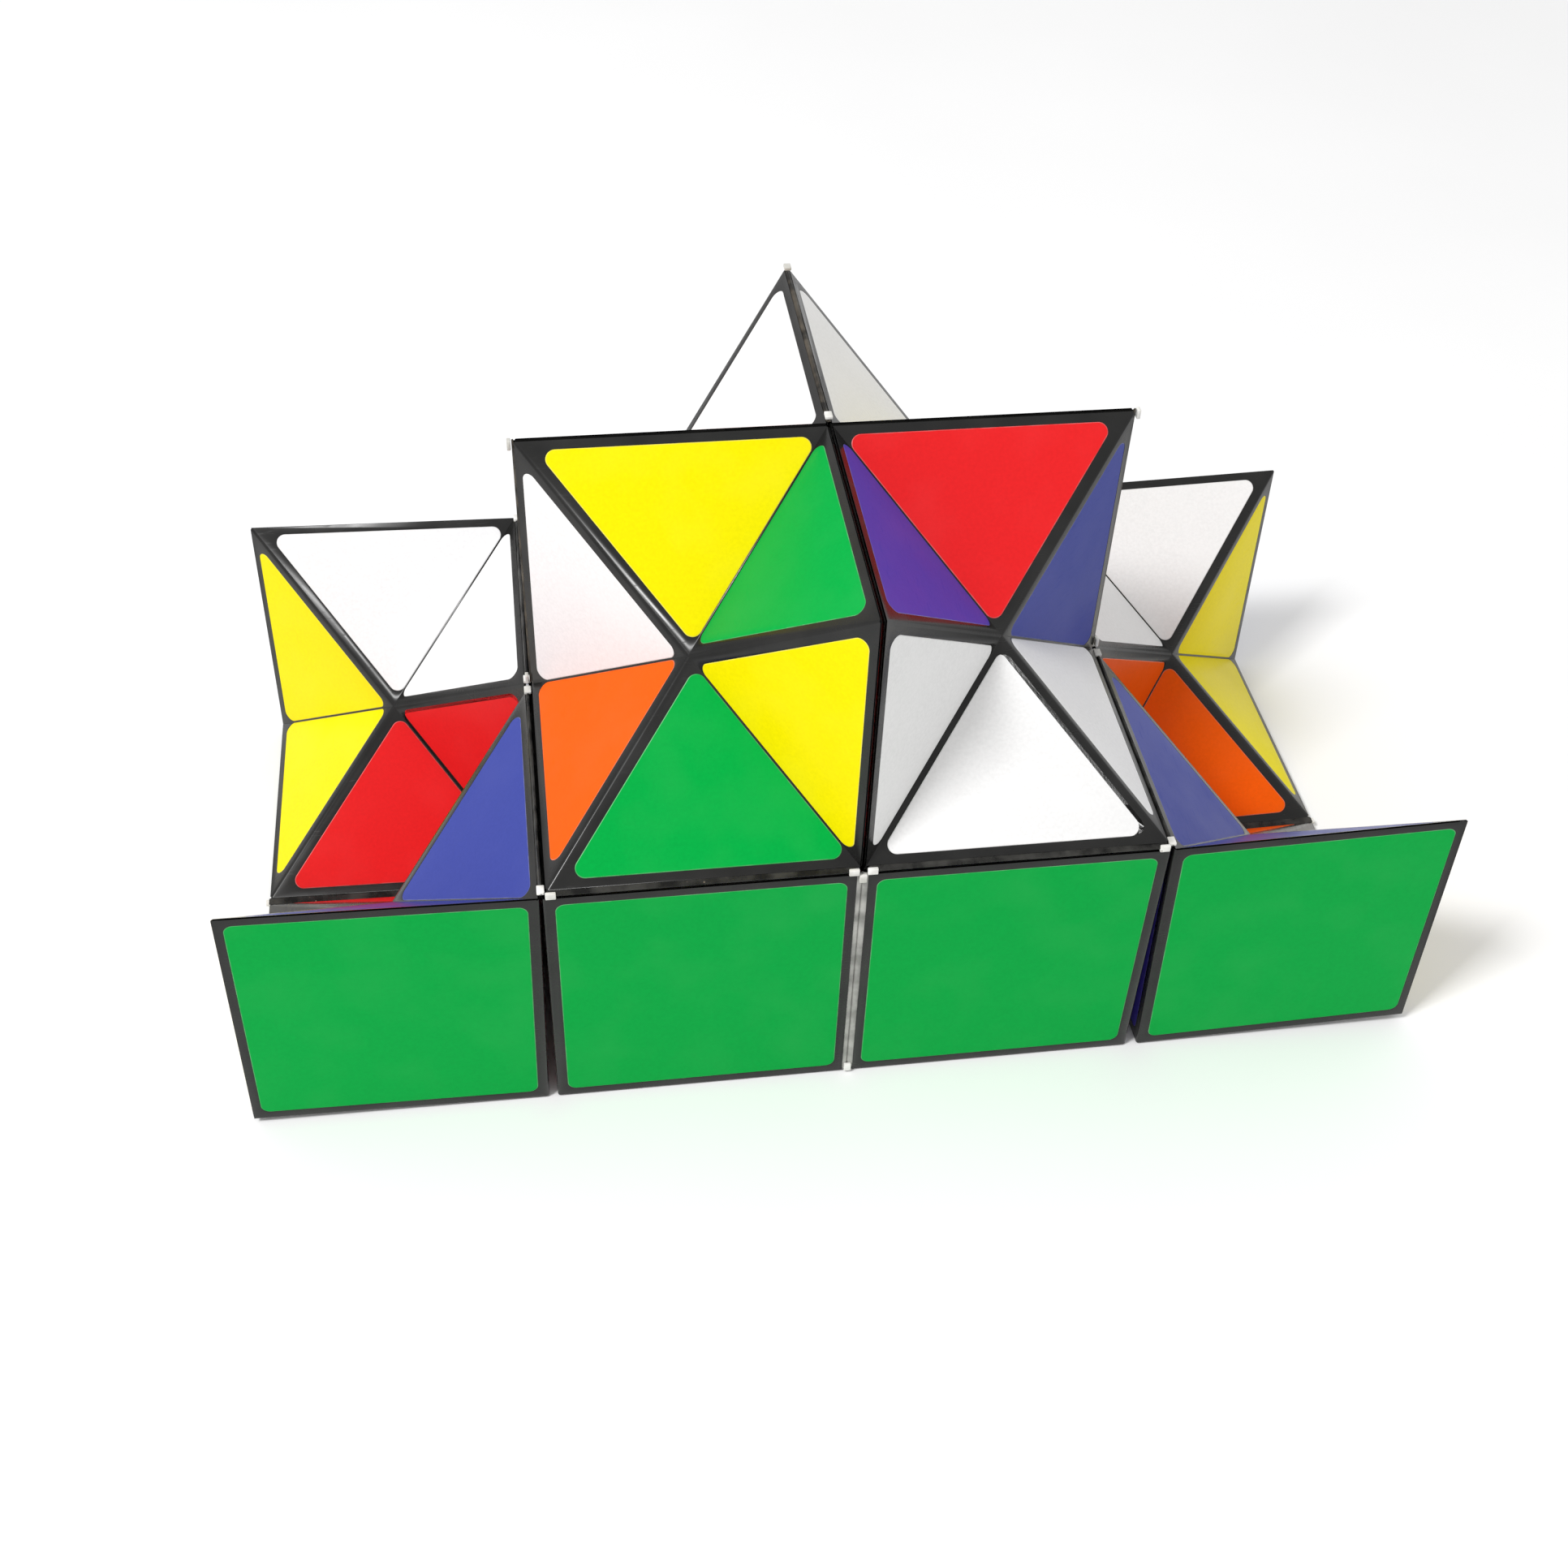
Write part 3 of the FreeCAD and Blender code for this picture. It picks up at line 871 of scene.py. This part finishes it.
@dataclass
class FilmStrip:
    """One strip of hinge film, from the key inside one half-cube, over the hinge line, to the other key."""

    name: str
    first: HalfCube
    second: HalfCube
    start: Corner
    end: Corner
    nodes: tuple[str, ...]
    layout: Layout
    end_gap: float = 0.45 * MM
    web_setback: float = 6.5 * MM
    key_from: float = 4.75 * MM
    key_to: float = 5.35 * MM
    key_thick: float = 0.6 * MM
    key_step: float = 0.12 * MM
    film_thick: float = 0.10 * MM
    open_rise: float = 0.09 * MM
    folded_rise: float = 0.44 * MM
    wave_height: float = 0.012 * MM
    hidden_by: float = 2 * MM
    tab: tuple[float, float, float] = (1.15 * MM, 0.85 * MM, 0.42 * MM)
    tab_round: float = 0.09 * MM
    tab_sink: float = 0.02 * MM
    free_longer: float = 0.3 * MM
    free_past: float = 0.4 * MM
    blend_reach: float = 0.25 * MM
    free_end: int = 0
    rows: int = 60

    @property
    def fold(self) -> Fold:
        """How the two half-cubes lie to each other."""
        if self.first.body != self.second.body:
            return Fold.TURNING
        normals = [self.hinge_axes(cube)[2] for cube in (self.first, self.second)]
        return Fold.FLAT if normals[0].dot(normals[1]) > 0.9 else Fold.FOLDED

    def hinge_axes(self, cube: HalfCube) -> tuple[Vector, Vector, Vector]:
        """The directions of a half-cube's hinge edge.

        Args:
            cube: one of the two half-cubes.

        Returns:
            Along the edge, into the half-cube along its square, and off that square into the half-cube.
        """
        line = next(axis for axis in range(3) if self.start[axis] != self.end[axis])
        across = [axis for axis in range(3) if axis != line]
        normal = next(axis for axis in across if self.start[axis] == cube.solid[axis])
        into = next(axis for axis in across if axis != normal)
        along, inward, off = Vector(), Vector(), Vector()
        along[line] = 1
        inward[into] = cube.solid[into] - self.start[into]
        off[normal] = 1 if cube.lowest[normal] == cube.solid[normal] else -1
        turn = self.layout.door_turn(cube.name).to_3x3()
        return turn @ along, turn @ inward, turn @ off

    def middle(self) -> Vector:
        """The middle of the hinge line, in the frame."""
        flat = (self.layout.point(self.start) + self.layout.point(self.end)) / 2
        return self.layout.door_turn(self.first.name) @ flat

    def columns(self) -> list[tuple[Vector, float, float]]:
        """The strip's section, as columns from one key to the other.

        Returns:
            For each column its offset from the hinge line, its half length and its thickness.
        """
        full = self.layout.cell / 2 - self.end_gap
        short = self.layout.cell / 2 - self.web_setback
        sides = []
        for cube in (self.first, self.second):
            _, inward, off = self.hinge_axes(cube)
            lean = inward * math.cos(BISECTOR) + off * math.sin(BISECTOR)
            deep = [
                (lean * self.key_to, short, self.key_thick),
                (lean * self.key_from, short, self.key_thick),
                (lean * (self.key_from - self.key_step), short, self.film_thick),
                (lean * SLOT_DEPTH, short, self.film_thick),
            ]
            deep += [(lean * reach * MM, full - less * MM, self.film_thick) for reach, less in MOUTH_COLUMNS]
            sides.append((deep, inward, off, lean))
        deep, inward, off, lean = zip(*sides)
        if self.fold is Fold.FLAT:
            rise = (off[0] + off[1]) / 2 * (self.layout.play + self.open_rise)
            near = []
            for side, reach, height, thick in OPEN_COLUMNS:
                if self.free_end and height == OPEN_CREASE:
                    height = 1.0
                near.append((inward[side] * reach * MM + rise * height, full, self.film_thick * thick))
        elif self.fold is Fold.FOLDED:
            rise = (inward[0] + inward[1]) / 2 * self.folded_rise
            near = [
                (rise * height + off[side] * reach * MM, full, self.film_thick * thick)
                for side, reach, height, thick in FOLDED_COLUMNS
            ]
        else:
            near = [
                (lean[side] * reach * MM, full, self.film_thick * thick)
                for side, reach, thick in TURNING_COLUMNS
            ]
        return deep[0] + near + deep[1][::-1]

    def build(self, film: bpy.types.Material, tab: bpy.types.Material, seed: int) -> bpy.types.Object:
        """Model the strip as a sheet with a thickness that varies across it, a little wavy where it shows.

        Args:
            film: the finish of the sheet.
            tab: the finish of its two ends, where the edge's corners leave it bare.
            seed: what the waves start from, so that strips differ.

        Returns:
            The finished piece.
        """
        columns = self.columns()
        bpy.ops.object.select_all(action="DESELECT")
        bpy.ops.mesh.primitive_grid_add(x_subdivisions=self.rows, y_subdivisions=len(columns) - 1, size=1.0)
        piece = bpy.context.object
        piece.name = self.name
        along = self.hinge_axes(self.first)[0]
        across = self.hinge_axes(self.first)[2]
        centre = self.middle()
        chance = random.Random(seed)
        ranges = ((90, 700), (0, math.tau), (0.3, 1.0))
        waves = [[chance.uniform(*limits) for limits in ranges] for _ in range(5)]
        thickest = max(thick for _, _, thick in columns)
        group = piece.vertex_groups.new(name="thickness")
        for vertex in piece.data.vertices:
            share = vertex.co.x + 0.5
            column = round((vertex.co.y + 0.5) * (len(columns) - 1))
            offset, half, thick = columns[column]
            run = (share - 0.5) * 2 * half
            wave = sum(size * math.sin(rate * run + phase + column * 0.5) for rate, phase, size in waves)
            wave *= self.wave_height
            shown = half > self.layout.cell / 2 - self.hidden_by
            vertex.co = centre + along * run + offset + across * wave * shown
            group.add([vertex.index], min(1.0, thick / thickest), "REPLACE")
        solid = piece.modifiers.new("thickness", "SOLIDIFY")
        solid.thickness = thickest
        solid.offset = 0.0
        solid.vertex_group = group.name
        solid.use_even_offset = True
        select_only(piece)
        bpy.ops.object.modifier_apply(modifier=solid.name)
        with editing(piece):
            bpy.ops.mesh.select_all(action="SELECT")
            bpy.ops.mesh.normals_make_consistent(inside=False)
        bpy.ops.object.shade_smooth_by_angle(angle=FILM_SMOOTH)
        piece.vertex_groups.clear()
        piece.data.materials.append(film)
        self.add_tabs(piece, tab)
        finish_piece(self.nodes)
        self.attach(piece)
        return piece

    def add_tabs(self, piece: bpy.types.Object, finish: bpy.types.Material) -> None:
        """Add the two ends of the strip, where the shells' corners leave it bare.

        Args:
            piece: the sheet that they are joined to.
            finish: their finish.
        """
        along, inward_a, off_a = self.hinge_axes(self.first)
        _, inward_b, off_b = self.hinge_axes(self.second)
        outward = -(inward_a + inward_b + off_a + off_b).normalized()
        turn = Matrix((along, outward.cross(along), outward)).transposed().to_4x4()
        for side in (-1, 1):
            length, width, thick = self.tab
            past = 0.0
            if side == self.free_end:
                length, past = length + self.free_longer, self.free_past
            run = side * (self.layout.cell / 2 - self.end_gap + past - length / 2)
            place = self.middle() + along * run - outward * self.tab_sink
            bpy.ops.object.select_all(action="DESELECT")
            bpy.ops.mesh.primitive_cube_add(size=1.0)
            block = bpy.context.object
            block.name = f"{self.name}_end"
            block.data.materials.append(finish)
            with editing(block):
                bpy.ops.mesh.select_all(action="SELECT")
                bpy.ops.transform.resize(value=(length, width, thick), center_override=(0, 0, 0))
                bpy.ops.mesh.bevel(offset=self.tab_round, segments=2, affect="EDGES")
            block.data.transform(Matrix.Translation(place) @ turn)
            bpy.ops.object.shade_smooth_by_angle(angle=FILM_SMOOTH)
            bpy.ops.object.select_all(action="DESELECT")
            block.select_set(True)
            piece.select_set(True)
            bpy.context.view_layer.objects.active = piece
            bpy.ops.object.join()

    def attach(self, piece: bpy.types.Object) -> None:
        """Let the strip move with its body; a strip across a joint gets no body and keeps its place.

        Args:
            piece: the strip.
        """
        if self.fold is not Fold.TURNING:
            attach(piece, self.first.body)
            return
        off = self.hinge_axes(self.first)[2] * self.blend_reach
        self.middle() + off
        self.middle() - off
        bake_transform(piece)


# --------------------------------------------------------------------------- the whole puzzle

CASE_CELLS = {
    "case_front_left_door": ((-1, 0, 0), (0, 0, 0), "left_door"),
    "case_front_left": ((0, 0, 0), (0, 0, 0), "case_base"),
    "case_front_right": ((1, 0, 0), (2, 0, 0), "case_base"),
    "case_front_right_door": ((2, 0, 0), (2, 0, 0), "right_door"),
    "case_rear_left_door": ((-1, 1, 0), (0, 2, 0), "left_door"),
    "case_rear_left": ((0, 1, 0), (0, 2, 0), "case_base"),
    "case_rear_right": ((1, 1, 0), (2, 2, 0), "case_base"),
    "case_rear_right_door": ((2, 1, 0), (2, 2, 0), "right_door"),
}

# Each strip: its two half-cubes, the fixed one first, and the two ends of its edge, in cells.
STRIPS = {
    ("base_film_hinges",): [
        ("case_front_left", "case_front_right", (1, 0, 0), (1, 0, 1)),
        ("case_rear_left", "case_rear_right", (1, 2, 0), (1, 2, 1)),
    ],
    ("left_door_film_hinge",): [("case_front_left_door", "case_rear_left_door", (-1, 1, 0), (0, 1, 0))],
    ("right_door_film_hinge",): [("case_front_right_door", "case_rear_right_door", (2, 1, 0), (3, 1, 0))],
    ("star_lower_film_hinges",): [
        ("star_lower_front_left", "star_lower_rear_left", (0, 1, 0), (0, 1, 1)),
        ("star_lower_front_right", "star_lower_rear_right", (2, 1, 0), (2, 1, 1)),
        ("star_lower_rear_left", "star_lower_rear_right", (1, 1, 0), (1, 2, 0)),
    ],
    ("star_upper_film_hinges",): [
        ("star_upper_front_left", "star_upper_rear_left", (0, 1, 1), (0, 1, 2)),
        ("star_upper_front_right", "star_upper_rear_right", (2, 1, 1), (2, 1, 2)),
        ("star_upper_rear_left", "star_upper_rear_right", (1, 1, 2), (1, 2, 2)),
    ],
    ("left_hinge_base_leaves", "left_hinge_door_leaves"): [
        ("case_front_left", "case_front_left_door", (0, 0, 1), (0, 1, 1)),
        ("case_rear_left", "case_rear_left_door", (0, 1, 1), (0, 2, 1)),
    ],
    ("right_hinge_base_leaves", "right_hinge_door_leaves"): [
        ("case_front_right", "case_front_right_door", (2, 0, 1), (2, 1, 1)),
        ("case_rear_right", "case_rear_right_door", (2, 1, 1), (2, 2, 1)),
    ],
    ("star_hinge_lower_leaves", "star_hinge_upper_leaves"): [
        ("star_lower_front_left", "star_upper_front_left", (0, 0, 1), (1, 0, 1)),
        ("star_lower_front_right", "star_upper_front_right", (1, 0, 1), (2, 0, 1)),
    ],
}


# One film in three tones: the folded and gap tones are the open film darkened, painted shade for strips that
# lie in shade between the half-cubes.
FILM_TONES_BY_PAINTED_SHADE = {
    Fold.FLAT: ("film_open", (0.24, 0.24, 0.225), (0.46, 0.455, 0.43)),
    Fold.FOLDED: ("film_folded_painted_shade", (0.016, 0.015, 0.013), (0.10, 0.085, 0.065)),
    Fold.TURNING: ("film_gap_painted_shade", (0.010, 0.010, 0.0095), (0.05, 0.049, 0.045)),
}


@dataclass
class Puzzle:
    """Both loops: sixteen half-cubes and sixteen strips of film."""

    layout: Layout
    shop: Workshop
    cubes: dict[str, HalfCube] = field(default_factory=dict)

    def lay_out(self) -> None:
        """Place the half-cubes of the case and of the star in their cells."""
        for name, (lowest, solid, body) in CASE_CELLS.items():
            self.cubes[name] = HalfCube(name, lowest, solid, self.layout, body)
        for height, level in enumerate(("lower", "upper")):
            for depth, row in enumerate(("front", "rear")):
                for column, side in enumerate(("left", "right")):
                    name = f"star_{level}_{row}_{side}"
                    self.cubes[name] = HalfCube(
                        name, (column, depth, height), (1, 1, 1), self.layout, f"star_{level}"
                    )

    def build(self) -> None:
        """Build and dress every piece, and report it."""
        self.lay_out()
        plastic = ShellPlastic().build(self.shop)
        prints = {hue: StickerPrint(hue).build(self.shop) for hue in Hue}
        edges = {hue: CutEdge(hue).build() for hue in Hue}
        films = {fold: HingeFilm(*tones).build(self.shop) for fold, tones in FILM_TONES_BY_PAINTED_SHADE.items()}
        tab = HingeFilm("film_end", (0.55, 0.54, 0.50), (0.88, 0.87, 0.84), 0.4, 1.0).build(self.shop)
        for cube in self.cubes.values():
            for part in ("tray", "cap"):
                cube.moulding(part, plastic)
            cube.stickers(prints, edges)
            log.info("%s: %s", cube.name, ", ".join(piece.name for piece in cube.pieces))
        number = 0
        for nodes, strips in STRIPS.items():
            for first, second, start, end in strips:
                number += 1
                pair = (self.cubes[first], self.cubes[second])
                strip = FilmStrip(f"film_strip_{number:02d}", *pair, start, end, nodes, self.layout)
                if first.endswith("_door"):
                    strip.free_end = -1 if "_left" in first else 1
                # The strips within the doors get the same painted shade as those in the gaps.
                film = films[Fold.TURNING if strip.free_end else strip.fold]
                strip.build(film, tab, seed=number)
                log.info("%s: %s to %s, %s", strip.name, first, second, strip.fold.value)


# --------------------------------------------------------------------------- studio


@dataclass(frozen=True)
class Studio:
    """A plain pale floor, a soft lamp, an even surround and the camera."""

    camera_at: tuple[float, float, float] = (-0.0332, -0.1783, 0.1868)
    camera_turn_deg: tuple[float, float, float] = (46.481, -1.776, -7.813)
    lens_mm: float = 44.50
    sensor_mm: float = 36.0
    floor_side: float = 6.0
    floor_below: float = 0.05 * MM
    floor_tones: tuple[RGB, RGB] = ((0.92, 0.92, 0.92), (0.94, 0.94, 0.94))
    lamp_at: tuple[float, float, float] = (-0.49, -0.31, 0.81)
    lamp_aim: tuple[float, float, float] = (0.0, 0.0, 0.03)
    lamp_side: float = 0.19
    lamp_watts: float = 6.3
    surround: float = 0.71

    def floor(self) -> None:
        """Add the floor under the case."""
        bpy.ops.object.select_all(action="DESELECT")
        height = cad_box[0][2] - self.floor_below
        bpy.ops.mesh.primitive_plane_add(size=self.floor_side, location=(0, 0, height))
        plane = bpy.context.object
        plane.name = "floor"
        material, graph, shader, where = new_material("floor_paint")
        tone = graph.spread(graph.noise(where, 14.0, 2.0), 0.3, 0.7, (0.0, 1.0))
        graph.set(shader, Base_Color=graph.mix(tone, *self.floor_tones), Roughness=0.8)
        plane.data.materials.append(material)

    def lamp(self) -> None:
        """Add the square area lamp that points at the puzzle."""
        data = bpy.data.lights.new("key_lamp", "AREA")
        data.size = self.lamp_side
        data.energy = self.lamp_watts
        lamp = bpy.data.objects.new("key_lamp", data)
        lamp.location = self.lamp_at
        aim = Vector(self.lamp_aim) - Vector(self.lamp_at)
        lamp.rotation_euler = aim.to_track_quat("-Z", "Y").to_euler()
        bpy.context.scene.collection.objects.link(lamp)

    def camera(self) -> None:
        """Add the camera."""
        data = bpy.data.cameras.new("camera")
        data.lens = self.lens_mm
        data.sensor_width = self.sensor_mm
        data.clip_start = 0.01
        camera = bpy.data.objects.new("camera", data)
        camera.location = self.camera_at
        camera.rotation_euler = tuple(math.radians(turn) for turn in self.camera_turn_deg)
        bpy.context.scene.collection.objects.link(camera)
        bpy.context.scene.camera = camera

    def set_up(self) -> None:
        """Add the floor, the lamp, the surround and the camera."""
        self.floor()
        self.lamp()
        world = bpy.data.worlds.new("surround")
        world.use_nodes = True
        back = world.node_tree.nodes["Background"]
        back.inputs["Color"].default_value = (1.0, 1.0, 1.0, 1.0)
        back.inputs["Strength"].default_value = self.surround
        bpy.context.scene.world = world
        bpy.context.scene.view_settings.view_transform = "Standard"
        self.camera()


def main() -> None:
    """Build the studio and the puzzle."""
    logging.basicConfig(level=logging.INFO, format="%(name)s: %(message)s")
    Studio().set_up()
    Puzzle(Layout.from_frame(), Workshop()).build()


if __name__ == "__main__":
    main()
